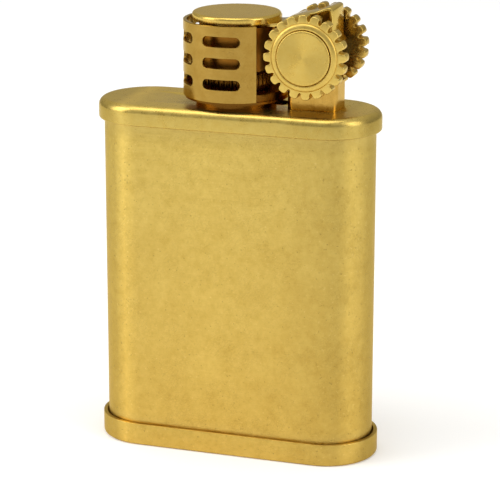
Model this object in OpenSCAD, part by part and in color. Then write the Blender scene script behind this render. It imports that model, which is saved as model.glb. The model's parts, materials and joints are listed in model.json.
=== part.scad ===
// Pocket petrol lighter with a lift-arm snuffer, a slotted wind guard and two toothed thumb wheels.
// Millimetres. Origin at the middle of the underside, +Z up, +X towards the thumb wheels, -Y the front.

/* [Case] */
// Overall length of the lid and of the base cap
case_length = 40; // [38:0.5:44]
// Front-to-back depth of the lid
lid_depth = 14.6; // [14.2:0.1:15.2]
// Front-to-back depth of the base cap
base_depth = 14.4; // [14.2:0.1:15]
// Step from the lid's edge in to the case wall, all round
case_step = 0.76; // [0.6:0.02:0.9]
// Height of the lid's flat top above the ground
lid_top = 48.75; // [44:0.25:54]
// Height of the lid from the bottom of its skirt to its top
lid_height = 2.8; // [2.4:0.02:3.2]
// Height of the base cap
base_height = 3.15; // [2.6:0.01:3.6]
// Thickness of the case's sheet wall
case_wall = 0.6; // [0.5:0.05:0.8]

/* [Wind guard] */
// Middle of the wind guard and the wick along the case
guard_x = -0.3; // [-1:0.1:0.3]
// Outer radius of the wind guard
guard_radius = 7.27; // [7.1:0.01:7.4]
// Thickness of the wind guard's wall
guard_wall = 0.5; // [0.4:0.05:0.6]
// Height of the wind guard's rim above the lid
guard_height = 11.55; // [11.4:0.01:12]
// Half of the open angle that faces the wheels
guard_open_half = 50; // [46:1:52]
// Height of one air slot
slot_height = 1.4; // [1:0.1:1.6]
// End-to-end width of one air slot
slot_width = 5.4; // [4:0.1:5.6]

/* [Thumb wheels] */
// Wheel axis along the case
axle_x = 11; // [10.8:0.1:11.2]
// Wheel axis above the lid
axle_rise = 7.85; // [7.8:0.05:8]
// Number of teeth on a thumb wheel
tooth_count = 20; // [16:1:24]
// Radius over the tooth tips
gear_tip_radius = 5.7; // [5.6:0.05:5.8]
// Radius at the tooth roots
gear_root_radius = 4.8; // [4.7:0.05:4.9]
// Width of the toothed rim
gear_width = 1.8; // [1.6:0.1:2]
// Distance of each toothed rim's middle from the centre plane
gear_offset = 5; // [4.9:0.05:5.1]
// Radius of the file wheel that strikes the flint
file_radius = 2.7; // [2.6:0.05:2.8]

/* [Snuffer] */
// Radius of the snuffer's round cap
cap_radius = 6.04; // [5.8:0.02:6.1]
// Width of the snuffer arm
arm_width = 5.3; // [4.8:0.1:5.5]
// Thickness of the arm's sheet
arm_sheet = 0.5; // [0.4:0.05:0.5]

/* [Hidden] */
$fn = 64;
eps = 0.01;

// Case
case_straight = case_length - lid_depth;
case_depth = lid_depth - 2 * case_step;
base_straight = case_length - base_depth;
lid_plate = 1.2;
lid_fillet = 1;
lid_skirt_radius = 0.6;
base_floor = 1;
base_corner = 0.45;
case_seam = 0.08;
inside_depth = case_depth - 2 * case_wall;

// Heights on and above the lid
lid_skirt_z = lid_top - lid_height;
case_top = lid_top - lid_plate;
axle_z = lid_top + axle_rise;

// Wick and burner
wick_radius = 1.4;
wick_low = 22;
wick_high = lid_top + 5.5;
burner_inner = 1.45;
burner_radius = 2;
burner_low = 45.3;
burner_high = lid_top + 5.15;

// Collar that carries the wind guard
collar_radius = 5.5;
collar_height = 1.25;
spigot_height = 2.25;
spigot_clearance = 0.02;
ledge_width = 0.25;
ledge_height = 0.3;
guard_inner = guard_radius - guard_wall;
guard_low = lid_top + collar_height;
guard_rim_round = 0.2;
slot_first = 3.68;
slot_pitch = 2.9;
slot_reach = 1;
slot_columns = [89.3, 147.3];

// Knurled base of the burner
base_nut_radius = 4.9;
base_nut_height = 2.4;
knurl_count = 40;
knurl_depth = 0.22;

// Wheel post with its two ears
post_length = 7;
post_width = 5;
post_corner = 1;
post_height = 3.85;
ear_inner = 1.75;
ear_radius = 2.2;
stem_left = -3.3;
stem_right = 1.2;

// Axle stack, measured from the centre plane
axle_radius = 0.8;
axle_clearance = 0.05;
file_half = 1.1;
file_teeth = 36;
file_tooth_depth = 0.28;
cheek_inner = 1.2;
cheek_outer = 1.6;
spacer_inner = 2.6;
spacer_radius = 1.6;
gear_inner_face = gear_offset - gear_width / 2;
gear_outer_face = gear_offset + gear_width / 2;
gear_ring_face = gear_outer_face + 0.4;
gear_recess_radius = 3.8;
gear_ring_step = 0.12;
hub_radius = 3.7;
hub_face = gear_outer_face + 0.65;
hub_edge = 0.12;
tooth_phase = 2.3;
rear_tooth_phase = 6.7;
tooth_root_width = 1.24;
tooth_tip_width = 0.78;
tooth_tip_round = 0.3;

// Snuffer
cap_low = lid_top + 11.45;
cap_high = lid_top + 12.55;
cap_edge = 0.35;
cup_radius = 5.1;
cup_inner = 4.6;
cup_low = lid_top + 5;
cup_web = 0.4;
pad_thickness = 0.5;
rivet_radius = 0.5;
rivet_head_radius = 1.1;
rivet_head = 0.3;
rivet_in_cap = 0.6;
arm_left = -2.4;
yoke_eye_radius = 2;
yoke_web = 0.45;
yoke_clearance = 0.08;
// First and last points of the arm's line that the yoke lies under
yoke_first = 4;
yoke_last = 7;

// The arm's top face from the cap to the thumb plate, as x and height above the lid
arm_line = [
    [arm_left, cap_low - lid_top],
    [6, cap_low - lid_top],
    [6.9, 12],
    [8.4, 12.7],
    [10.2, 13.15],
    [11.4, 13.35],
    [12.4, 13.8],
    [13.2, 14.1],
    [13.7, 14.05],
    [13.95, 13.75],
    [13.95, 10],
    [14.15, 9.6],
    [14.5, 9.2]
];

// Friction leaf spring for the arm
leaf_left = -3.4;
leaf_foot_width = 3.3;
leaf_sheet = 0.3;
leaf_gap = 0.1;
leaf_finger_inner = 1.22;
leaf_finger_outer = 1.62;
leaf_top = lid_top + 8.6;

// Flint feed
flint_radius = 1.3;
flint_length = 5.2;
flint_gap = 0.1;
flint_bore = 1.4;
flint_tube_radius = 2.1;
flint_high = axle_z - file_radius - flint_gap;
flint_low = flint_high - flint_length;
plunger_head = 1.7;
plunger_stem_radius = 0.5;
plunger_stem = 7;
plunger_low = flint_low - plunger_head;
spring_wire = 0.2;
spring_radius = 1.06;
spring_turns = 22;
spring_steps = 10;
spring_sides = 6;
spring_low = 7.3;
foot_radius = 3.9;
foot_height = 3.4;

// Screws in the base
screw_recess = 0.12;
head_height = 0.88;
slot_cut = 0.7;
slot_depth = 0.45;
flint_head_radius = 3;
flint_head_seat = 3.1;
flint_shank_radius = 1.35;
flint_shank_top = 7;
filler_x = -8;
filler_head_radius = 3.9;
filler_head_seat = 4;
filler_shank_radius = 2.95;
filler_bore = 3;
filler_top = 4.2;
bush_radius = 4.8;
seat_depth = 1.4;
gasket_gap = 0.02;
gasket_radius = 3.8;

// Wadding
felt_low = 4.4;
felt_high = 7;
wadding_low = 7.2;
wadding_high = 45;
packing_gap = 0.12;
fill_hole = 1.5;

// A solid with a racetrack plan: the child is its half section, from the middle line outwards
module racetrack(straight) {
    for (side = [-1, 1])
        translate([side * straight / 2, 0, 0])
            rotate_extrude()
                children();
    rotate([90, 0, 90])
        linear_extrude(straight, center = true) {
            children();
            mirror([1, 0, 0])
                children();
        }
}

// A plain racetrack block
module racetrack_block(length, depth, low, high) {
    racetrack(length - depth)
        translate([0, low])
            square([depth / 2, high - low]);
}

// A half section with a round corner at its top outer edge and another at its bottom outer edge
module rounded_half(radius, low, high, top_round, bottom_round) {
    union() {
        translate([0, low])
            square([radius - max(top_round, bottom_round), high - low]);
        translate([0, low + bottom_round])
            square([radius, high - low - top_round - bottom_round]);
        translate([radius - top_round, high - top_round])
            circle(top_round);
        translate([radius - bottom_round, low + bottom_round])
            circle(bottom_round);
        if (top_round > bottom_round)
            translate([0, low])
                square([radius - bottom_round, high - low - top_round]);
    }
}

// A cylinder between two heights
module column(radius, low, high) {
    translate([0, 0, low])
        cylinder(r = radius, h = high - low);
}

// A tube between two heights
module ring(outer, inner, low, high) {
    difference() {
        column(outer, low, high);
        column(inner, low - eps, high + eps);
    }
}

// Turns a shape drawn around +Z at z = 0 so that it stands around the wheel axis, facing -Y
module on_axle() {
    translate([axle_x, 0, axle_z])
        rotate([90, 0, 0])
            children();
}

// A plate in the XZ plane about the wheel axis, between two distances from the centre plane, on both sides
module twin_plates(inner, outer) {
    for (side = [-1, 1])
        translate([axle_x, side * (inner + outer) / 2, axle_z])
            rotate([90, 0, 0])
                linear_extrude(outer - inner, center = true)
                    children();
}

// Collars around the wheel axis, one on each side of the centre plane
module twin_collars(outer, inner, near, far) {
    for (side = [0, 1])
        mirror([0, side, 0])
            on_axle()
                ring(outer, inner, near, far);
}

module body_tube() {
    color("goldenrod")
        difference() {
            racetrack_block(case_straight + case_depth, case_depth, base_floor, case_top);
            racetrack_block(case_straight + inside_depth, inside_depth, base_floor - eps, case_top + eps);
        }
}

module base_cap() {
    seat_depth_y = case_depth + 2 * case_seam;
    color("darkgoldenrod")
        difference() {
            racetrack(base_straight)
                rounded_half(base_depth / 2, 0, base_height, 0.1, base_corner);
            racetrack_block(case_straight + seat_depth_y, seat_depth_y, base_floor, base_height + eps);
            translate([filler_x, 0, 0])
                column(bush_radius, -eps, base_floor + eps);
            translate([axle_x, 0, 0])
                column(foot_radius, -eps, base_floor + eps);
        }
}

module top_lid() {
    recess = case_depth + 2 * case_seam;
    color("darkkhaki")
        difference() {
            racetrack(case_straight)
                rounded_half(lid_depth / 2, lid_skirt_z, lid_top, lid_fillet, lid_skirt_radius);
            racetrack_block(case_straight + recess, recess, lid_skirt_z - eps, case_top);
            translate([guard_x, 0, 0])
                column(burner_radius, case_top - eps, lid_top + eps);
            translate([axle_x, 0, 0])
                column(flint_tube_radius, case_top - eps, lid_top + eps);
        }
}

module filler_bush() {
    color("peru")
        translate([filler_x, 0, 0])
            difference() {
                column(bush_radius, 0, filler_top);
                column(filler_head_seat, -eps, seat_depth);
                column(filler_bore, seat_depth - eps, filler_top + eps);
            }
}

module flint_tube() {
    color("peru")
        translate([axle_x, 0, 0])
            difference() {
                union() {
                    column(flint_tube_radius, 0, lid_top + post_height);
                    column(foot_radius, 0, foot_height);
                }
                column(flint_head_seat, -eps, seat_depth);
                column(flint_bore, seat_depth - eps, lid_top + post_height + eps);
            }
}

module packing(low, high) {
    depth = inside_depth - 2 * packing_gap;
    difference() {
        racetrack_block(case_straight + depth, depth, low, high);
        translate([axle_x, 0, 0])
            column(flint_tube_radius + packing_gap, low - eps, high + eps);
        children();
    }
}

module fuel_wadding() {
    color("white")
        packing(wadding_low, wadding_high)
            translate([guard_x, 0, 0])
                column(wick_radius, wick_low, wadding_high + eps);
}

module felt_pad() {
    color("tan")
        packing(felt_low, felt_high)
            translate([filler_x, 0, 0])
                column(fill_hole, felt_low - eps, felt_high + eps);
}

module wick() {
    color("ivory")
        translate([guard_x, 0, 0])
            column(wick_radius, wick_low, wick_high);
}

module burner_tube() {
    color("peru")
        translate([guard_x, 0, 0])
            ring(burner_radius, burner_inner, burner_low, burner_high);
}

module guard_collar() {
    color("saddlebrown")
        translate([guard_x, 0, 0]) {
            difference() {
                union() {
                    column(collar_radius, lid_top, guard_low);
                    column(guard_inner + ledge_width, guard_low - ledge_height, guard_low);
                    column(guard_inner - spigot_clearance, guard_low, lid_top + spigot_height);
                }
                column(burner_radius, lid_top - eps, lid_top + spigot_height + eps);
            }
        }
}

module burner_base() {
    low = lid_top + spigot_height;
    color("peru")
        translate([guard_x, 0, low])
            difference() {
                linear_extrude(base_nut_height)
                    polygon([
                        for (i = [0:2 * knurl_count - 1])
                            let (
                                angle = i * 180 / knurl_count,
                                radius = base_nut_radius - (i % 2) * knurl_depth
                            )
                            radius * [cos(angle), sin(angle)]
                    ]);
                column(burner_radius, -eps, base_nut_height + eps);
            }
}

// One air slot, drawn pointing along +X at the height given
module air_slot(height) {
    translate([guard_inner - slot_reach, 0, height])
        rotate([90, 0, 90])
            linear_extrude(guard_wall + 2 * slot_reach) {
                square([slot_width - slot_height, slot_height], center = true);
                for (end = [-1, 1])
                    translate([end * (slot_width - slot_height) / 2, 0])
                        circle(slot_height / 2);
            }
}

module wind_guard() {
    rim = lid_top + guard_height;
    reach = 2 * guard_radius;
    color("gold")
        translate([guard_x, 0, 0])
            difference() {
                rotate_extrude()
                    union() {
                        translate([guard_inner, guard_low])
                            square([guard_wall, guard_height - collar_height - guard_rim_round]);
                        translate([guard_inner + guard_rim_round, guard_low])
                            square([guard_wall - 2 * guard_rim_round, guard_height - collar_height]);
                        for (edge = [guard_inner + guard_rim_round, guard_radius - guard_rim_round])
                            translate([edge, rim - guard_rim_round])
                                circle(guard_rim_round);
                    }
                translate([0, 0, guard_low - eps])
                    linear_extrude(guard_height)
                        polygon([
                            [0, 0],
                            [reach * cos(guard_open_half), reach * sin(guard_open_half)],
                            [reach, reach * sin(guard_open_half)],
                            [reach, -reach * sin(guard_open_half)],
                            [reach * cos(guard_open_half), -reach * sin(guard_open_half)]
                        ]);
                for (side = [-1, 1], angle = slot_columns, row = [0:2])
                    rotate([0, 0, side * angle])
                        air_slot(lid_top + slot_first + row * slot_pitch);
            }
}

module wheel_post() {
    top = lid_top + post_height;
    core = post_length / 2 - post_corner;
    side_core = post_width / 2 - post_corner;
    color("darkgoldenrod") {
        difference() {
            union() {
                translate([axle_x, 0, lid_top])
                    linear_extrude(post_height) {
                        square([post_length, 2 * side_core], center = true);
                        square([2 * core, post_width], center = true);
                        for (x = [-core, core], y = [-side_core, side_core])
                            translate([x, y])
                                circle(post_corner);
                    }
                twin_plates(ear_inner, post_width / 2) {
                    circle(ear_radius);
                    polygon([
                        [stem_left + 0.8, top - axle_z - 0.2],
                        [stem_right, top - axle_z - 0.2],
                        [stem_right, -sqrt(pow(ear_radius, 2) - pow(stem_right, 2)) + 0.1],
                        [0, 0],
                        [-ear_radius + 0.05, 0.3]
                    ]);
                }
            }
            translate([axle_x, 0, 0])
                column(flint_tube_radius, lid_top - eps, top + eps);
            on_axle()
                column(axle_radius + axle_clearance, -post_width, post_width);
        }
    }
}

module arm_spring() {
    foot_low = lid_top + post_height;
    finger_x = axle_x - yoke_eye_radius - leaf_gap - leaf_sheet;
    color("silver") {
        translate([axle_x + leaf_left, -leaf_foot_width / 2, foot_low])
            cube([finger_x + leaf_sheet - axle_x - leaf_left, leaf_foot_width, leaf_sheet]);
        for (side = [0, 1])
            mirror([0, side, 0])
                translate([finger_x, leaf_finger_inner, foot_low])
                    cube([leaf_sheet, leaf_finger_outer - leaf_finger_inner, leaf_top - foot_low]);
    }
}

// Unit direction from one point to the next
function heading(a, b) = (b - a) / norm(b - a);

// Normal to the arm's line at point i, pointing to its underside, lengthened at bends to keep the sheet even
function under_normal(i) =
    let (
        last = len(arm_line) - 1,
        before = heading(arm_line[max(i - 1, 0)], arm_line[max(i, 1)]),
        after = heading(arm_line[min(i, last - 1)], arm_line[min(i + 1, last)]),
        middle = heading([0, 0], before + after)
    )
    [middle[1], -middle[0]] / (middle * before);

// The arm's line moved down into its underside
function arm_under(depth) = [for (i = [0:len(arm_line) - 1]) arm_line[i] + depth * under_normal(i)];

// Stands a drawing in the XZ plane, with its second axis measured up from the lid
module side_drawing(width) {
    translate([0, 0, lid_top])
        rotate([90, 0, 0])
            linear_extrude(width, center = true)
                children();
}

function reversed(list) = [for (i = [len(list) - 1:-1:0]) list[i]];

module snuffer_arm() {
    color("khaki")
        difference() {
            side_drawing(arm_width)
                polygon(concat(arm_line, reversed(arm_under(arm_sheet))));
            translate([guard_x, 0, 0])
                column(rivet_radius, cap_low - 1, cap_high);
        }
}

// Side view of one yoke cheek, from the arm's underside down to the eye
module yoke_side() {
    under = arm_under(arm_sheet);
    translate([axle_x, axle_rise])
        circle(yoke_eye_radius);
    polygon(concat(
        [[axle_x - yoke_eye_radius, axle_rise]],
        [for (i = [yoke_first:yoke_last]) under[i]],
        [[axle_x + yoke_eye_radius, axle_rise]]
    ));
}

// Side view of the yoke's web, a strip that lies against the arm's underside
module yoke_web_side() {
    top = arm_under(arm_sheet);
    bottom = arm_under(arm_sheet + yoke_web);
    polygon(concat(
        [for (i = [yoke_first:yoke_last]) top[i]],
        [for (i = [yoke_last:-1:yoke_first]) bottom[i]]
    ));
}

module arm_yoke() {
    color("darkkhaki")
        difference() {
            union() {
                for (side = [-1, 1])
                    translate([0, side * (cheek_inner + cheek_outer) / 2, 0])
                        side_drawing(cheek_outer - cheek_inner)
                            yoke_side();
                side_drawing(cheek_inner + cheek_outer)
                    yoke_web_side();
            }
            on_axle()
                column(axle_radius + yoke_clearance, -post_width, post_width);
        }
}

module snuffer_cap() {
    color("palegoldenrod")
        translate([guard_x, 0, 0])
            difference() {
                rotate_extrude()
                    rounded_half(cap_radius, cap_low, cap_high, cap_edge, 0.15);
                column(rivet_radius, cap_low - eps, cap_low + rivet_in_cap);
            }
}

module snuffer_cup() {
    top = cap_low - arm_sheet;
    color("peru")
        translate([guard_x, 0, 0])
            difference() {
                column(cup_radius, cup_low, top);
                column(cup_inner, cup_low - eps, top - cup_web);
                column(rivet_radius, top - 1, top + eps);
            }
}

module snuffer_pad() {
    top = cap_low - arm_sheet - cup_web;
    color("sienna")
        translate([guard_x, 0, 0])
            ring(cup_inner - 0.05, rivet_radius, top - pad_thickness, top);
}

module snuffer_rivet() {
    pad_low = cap_low - arm_sheet - cup_web - pad_thickness;
    color("peru")
        translate([guard_x, 0, 0]) {
            column(rivet_head_radius, pad_low - rivet_head, pad_low);
            column(rivet_radius, pad_low - eps, cap_low + rivet_in_cap);
        }
}

module axle() {
    reach = gear_outer_face + 0.4;
    color("silver")
        on_axle()
            column(axle_radius, -reach, reach);
}

module file_wheel() {
    step = 360 / file_teeth;
    color("dimgray")
        on_axle()
            translate([0, 0, -file_half])
                difference() {
                    linear_extrude(2 * file_half)
                        polygon([
                            for (i = [0:file_teeth - 1], part = [0, 1])
                                let (
                                    angle = (i + part * 0.3) * step,
                                    radius = part == 0 ? file_radius : file_radius - file_tooth_depth
                                )
                                radius * [cos(angle), sin(angle)]
                        ]);
                    column(axle_radius, -eps, 2 * file_half + eps);
                }
}

// One tooth, drawn pointing along +X from inside the rim to the tip
module tooth() {
    tip = gear_tip_radius - tooth_tip_round;
    polygon([
        [gear_root_radius - 0.4, -tooth_root_width / 2],
        [gear_root_radius, -tooth_root_width / 2],
        [tip, -tooth_tip_width / 2],
        [gear_tip_radius, -tooth_tip_width / 2 + tooth_tip_round],
        [gear_tip_radius, tooth_tip_width / 2 - tooth_tip_round],
        [tip, tooth_tip_width / 2],
        [gear_root_radius, tooth_root_width / 2],
        [gear_root_radius - 0.4, tooth_root_width / 2]
    ]);
}

// A thumb wheel around the wheel axis, in front of the centre plane, with its first tooth at the angle given
module thumb_wheel(phase) {
    ring_edge = gear_root_radius - gear_ring_step;
    on_axle()
        difference() {
            union() {
                translate([0, 0, gear_inner_face])
                    linear_extrude(gear_width) {
                        circle(gear_root_radius);
                        for (i = [0:tooth_count - 1])
                            rotate(phase + i * 360 / tooth_count)
                                tooth();
                    }
                rotate_extrude()
                    polygon([
                        [gear_recess_radius, gear_outer_face - 0.5],
                        [ring_edge, gear_outer_face - 0.5],
                        [ring_edge, gear_outer_face + 0.04],
                        [ring_edge - 0.35, gear_outer_face + 0.3],
                        [gear_recess_radius + 0.1, gear_ring_face],
                        [gear_recess_radius, gear_ring_face]
                    ]);
            }
            column(axle_radius, gear_inner_face - eps, gear_outer_face + eps);
        }
}

module front_thumb_wheel() {
    color("darkgoldenrod")
        thumb_wheel(tooth_phase);
}

module rear_thumb_wheel() {
    color("darkgoldenrod")
        mirror([0, 1, 0])
            thumb_wheel(rear_tooth_phase);
}

module wheel_spacers() {
    color("peru")
        twin_collars(spacer_radius, axle_radius, spacer_inner, gear_inner_face);
}

module hub_discs() {
    color("khaki")
        for (side = [0, 1])
            mirror([0, side, 0])
                on_axle()
                    difference() {
                        rotate_extrude()
                            rounded_half(hub_radius, gear_outer_face, hub_face, hub_edge, 0.05);
                        column(axle_radius, gear_outer_face - eps, gear_outer_face + 0.4);
                    }
}

module flint() {
    color("dimgray")
        translate([axle_x, 0, 0])
            column(flint_radius, flint_low, flint_high);
}

module flint_plunger() {
    color("peru")
        translate([axle_x, 0, 0]) {
            column(flint_radius, plunger_low, flint_low);
            column(plunger_stem_radius, plunger_low - plunger_stem, plunger_low + eps);
        }
}

// A round wire wound on a helix between two heights
module coil(radius, wire, low, high, turns) {
    rings = turns * spring_steps;
    rise = (high - low) / rings;
    points = [
        for (i = [0:rings], j = [0:spring_sides - 1])
            let (
                around = i * 360 / spring_steps,
                across = j * 360 / spring_sides,
                reach = radius + wire * cos(across)
            )
            [reach * cos(around), reach * sin(around), low + i * rise + wire * sin(across)]
    ];
    walls = [
        for (i = [0:rings - 1], j = [0:spring_sides - 1])
            let (next = (j + 1) % spring_sides, base = i * spring_sides)
            [base + j, base + next, base + spring_sides + next, base + spring_sides + j]
    ];
    start = [[for (j = [spring_sides - 1:-1:0]) j]];
    finish = [[for (j = [0:spring_sides - 1]) rings * spring_sides + j]];
    polyhedron(points, concat(walls, start, finish), convexity = 6);
}

module flint_spring() {
    color("silver")
        translate([axle_x, 0, 0])
            coil(spring_radius, spring_wire, spring_low, plunger_low - spring_wire, spring_turns);
}

// A slotted screw whose head sits in the base with its slot facing down
module slotted_screw(head_radius, shank_radius, top) {
    difference() {
        union() {
            column(head_radius, screw_recess, screw_recess + head_height);
            column(shank_radius, screw_recess, top);
        }
        translate([-head_radius - 1, -slot_cut / 2, screw_recess - eps])
            cube([2 * head_radius + 2, slot_cut, slot_depth]);
    }
}

module flint_screw() {
    color("goldenrod")
        translate([axle_x, 0, 0])
            slotted_screw(flint_head_radius, flint_shank_radius, flint_shank_top);
}

module filler_gasket() {
    color("brown")
        translate([filler_x, 0, 0])
            ring(gasket_radius, filler_bore, screw_recess + head_height + gasket_gap, seat_depth - gasket_gap);
}

module filler_screw() {
    color("goldenrod")
        translate([filler_x, 0, 0])
            slotted_screw(filler_head_radius, filler_shank_radius, filler_top);
}

body_tube();
base_cap();
top_lid();
filler_bush();
flint_tube();
fuel_wadding();
felt_pad();
wick();
burner_tube();
burner_base();
guard_collar();
wind_guard();
wheel_post();
arm_spring();
snuffer_arm();
arm_yoke();
snuffer_cap();
snuffer_cup();
snuffer_pad();
snuffer_rivet();
axle();
file_wheel();
front_thumb_wheel();
rear_thumb_wheel();
wheel_spacers();
hub_discs();
flint();
flint_plunger();
flint_spring();
flint_screw();
filler_gasket();
filler_screw();
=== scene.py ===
"""Looks of the pocket petrol lighter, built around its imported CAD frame. Metres, +Z up, -Y the front."""
import json
import math

import bmesh
import bpy
from mathutils import Matrix, Vector


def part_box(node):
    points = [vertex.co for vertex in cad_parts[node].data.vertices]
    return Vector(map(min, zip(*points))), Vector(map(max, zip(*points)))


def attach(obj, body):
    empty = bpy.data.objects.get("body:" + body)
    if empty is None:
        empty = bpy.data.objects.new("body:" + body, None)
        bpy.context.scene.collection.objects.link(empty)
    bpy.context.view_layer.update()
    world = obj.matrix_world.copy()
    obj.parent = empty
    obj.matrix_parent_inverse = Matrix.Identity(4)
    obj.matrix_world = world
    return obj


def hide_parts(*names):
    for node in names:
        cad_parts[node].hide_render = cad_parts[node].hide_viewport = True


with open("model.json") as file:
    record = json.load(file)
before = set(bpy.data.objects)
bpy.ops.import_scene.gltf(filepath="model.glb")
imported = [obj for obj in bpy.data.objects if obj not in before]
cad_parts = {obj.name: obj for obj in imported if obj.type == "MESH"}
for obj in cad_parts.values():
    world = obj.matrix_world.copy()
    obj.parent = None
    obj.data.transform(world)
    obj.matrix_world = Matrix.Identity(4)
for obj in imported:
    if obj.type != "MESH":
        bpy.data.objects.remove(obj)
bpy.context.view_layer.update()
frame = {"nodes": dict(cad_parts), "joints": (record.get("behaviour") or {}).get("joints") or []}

MM = 0.001
ARC = 40  # steps round each round end of the case
STRAIGHT_STEPS = 14  # steps along each straight side of the case
TINY = 0.0001 * MM  # radius of the innermost ring of a closed disc


# ---------------------------------------------------------------- measures taken from the frame

LID_LOW, LID_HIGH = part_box("top_lid")
TUBE_LOW, TUBE_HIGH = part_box("body_tube")
BASE_LOW, BASE_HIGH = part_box("base_cap")
GUARD_LOW, GUARD_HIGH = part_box("wind_guard")
COLLAR_LOW, COLLAR_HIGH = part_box("guard_collar")
KNURL_LOW, KNURL_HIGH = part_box("burner_base")
CAP_LOW, CAP_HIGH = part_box("snuffer_cap")
ARM_LOW, ARM_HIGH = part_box("snuffer_arm")
WHEEL_LOW, WHEEL_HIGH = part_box("front_thumb_wheel")
HUB_LOW, HUB_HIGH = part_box("hub_discs")
FILE_LOW, FILE_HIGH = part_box("file_wheel")
WICK_LOW, WICK_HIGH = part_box("wick")
TUBE_BURNER_LOW, TUBE_BURNER_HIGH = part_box("burner_tube")

GUARD_RADIUS = (GUARD_HIGH.y - GUARD_LOW.y) / 2
GUARD_X = GUARD_LOW.x + GUARD_RADIUS
AXLE = Vector(next(j["pos_m"] for j in frame["joints"] if j["name"] == "arm_swing"))
LID_TOP = LID_HIGH.z


# ---------------------------------------------------------------- mesh helpers

def new_object(name, bm, sharp_angle=35):
    """Puts a bmesh in a new object in the scene, smooth except at its sharp edges."""
    bmesh.ops.recalc_face_normals(bm, faces=bm.faces)
    mesh = bpy.data.meshes.new(name)
    bm.to_mesh(mesh)
    bm.free()
    mesh.polygons.foreach_set("use_smooth", [True] * len(mesh.polygons))
    mesh.set_sharp_from_angle(angle=math.radians(sharp_angle))
    obj = bpy.data.objects.new(name, mesh)
    bpy.context.scene.collection.objects.link(obj)
    return obj


def skin(bm, rings, loop=False, caps=False):
    """Joins rings of the same number of points with quads, and closes the ends if asked."""
    made = [[bm.verts.new(point) for point in ring] for ring in rings]
    pairs = list(zip(made, made[1:] + made[:1])) if loop else list(zip(made, made[1:]))
    for lower, upper in pairs:
        count = len(lower)
        for i in range(count):
            j = (i + 1) % count
            bm.faces.new((lower[i], lower[j], upper[j], upper[i]))
    if caps:
        bm.faces.new(reversed(made[0]))
        bm.faces.new(made[-1])


def corner(x, z, radius, start, end, steps=6):
    """Points of an arc about (x, z) from angle start to angle end, in degrees."""
    angles = [math.radians(start + (end - start) * i / steps) for i in range(steps + 1)]
    return [(x + radius * math.cos(a), z + radius * math.sin(a)) for a in angles]


def circle_ring(radius, height, count, centre):
    """A level ring of points about a vertical axis."""
    turns = [2 * math.pi * i / count for i in range(count)]
    return [Vector((centre[0] + radius * math.cos(t), centre[1] + radius * math.sin(t), height))
            for t in turns]


def lathe(name, profile, centre, count=128, loop=False, caps=False):
    """Turns a profile of (radius, height) about a vertical axis. A loop profile makes a ring."""
    bm = bmesh.new()
    skin(bm, [circle_ring(r, z, count, centre) for r, z in profile], loop, caps)
    return new_object(name, bm)


def racetrack_ring(straight, radius, height):
    """A level ring of points with two straight sides and two round ends."""
    points = []
    for side in (1, -1):
        for i in range(ARC + 1):
            angle = math.radians(-90 + 180 * i / ARC)
            points.append((side * (straight / 2 + radius * math.cos(angle)), side * radius * math.sin(angle)))
        for i in range(1, STRAIGHT_STEPS):
            points.append((side * straight * (0.5 - i / STRAIGHT_STEPS), side * radius))
    return [Vector((x, y, height)) for x, y in points]


def racetrack(name, straight, profile, loop=False, caps=False, sharp_angle=35):
    """Carries a profile of (radius, height) round a racetrack plan."""
    bm = bmesh.new()
    skin(bm, [racetrack_ring(straight, r, z) for r, z in profile], loop, caps)
    return new_object(name, bm, sharp_angle)


def to_axle(obj, side):
    """Stands a piece turned about +Z at the origin on the axle, facing the front (-1) or the back (1)."""
    turn = Matrix.Rotation(math.radians(90 if side < 0 else -90), 4, "X")
    obj.data.transform(Matrix.Translation((AXLE.x, 0, AXLE.z)) @ turn)
    return obj


def bevel(obj, width, segments=2, angle=40):
    """Rounds the sharp edges of a piece with a modifier."""
    modifier = obj.modifiers.new("edge_rounding", "BEVEL")
    modifier.width = width
    modifier.segments = segments
    modifier.limit_method = "ANGLE"
    modifier.angle_limit = math.radians(angle)
    modifier.harden_normals = True
    modifier.use_clamp_overlap = True
    return obj


def apply_modifiers(obj):
    """Turns a piece's modifiers into its mesh."""
    depsgraph = bpy.context.evaluated_depsgraph_get()
    mesh = bpy.data.meshes.new_from_object(obj.evaluated_get(depsgraph))
    obj.modifiers.clear()
    old = obj.data
    obj.data = mesh
    bpy.data.meshes.remove(old)


def cut_holes(obj, holes):
    """Drills vertical holes, each (x, radius, low, high), through a piece."""
    for x, radius, low, high in holes:
        cutter = lathe("cutter", [(radius, low), (radius, high)], (x, 0), 64, caps=True)
        modifier = obj.modifiers.new("hole", "BOOLEAN")
        modifier.object = cutter
        modifier.operation = "DIFFERENCE"
        modifier.solver = "EXACT"
        apply_modifiers(obj)
        bpy.data.objects.remove(cutter)


def mark_edges(obj):
    """Stores how far each point stands out from its neighbours, for the worn edges of the finish."""
    mesh = obj.data
    bm = bmesh.new()
    bm.from_mesh(mesh)
    bm.normal_update()
    values = []
    for vert in bm.verts:
        slopes = [(vert.co - edge.other_vert(vert).co).normalized().dot(vert.normal)
                  for edge in vert.link_edges]
        values.append(max(0.0, sum(slopes) / max(1, len(slopes))))
    bm.free()
    attribute = mesh.attributes.new("edge", "FLOAT", "POINT")
    attribute.data.foreach_set("value", values)


# ---------------------------------------------------------------- finishes

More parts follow.
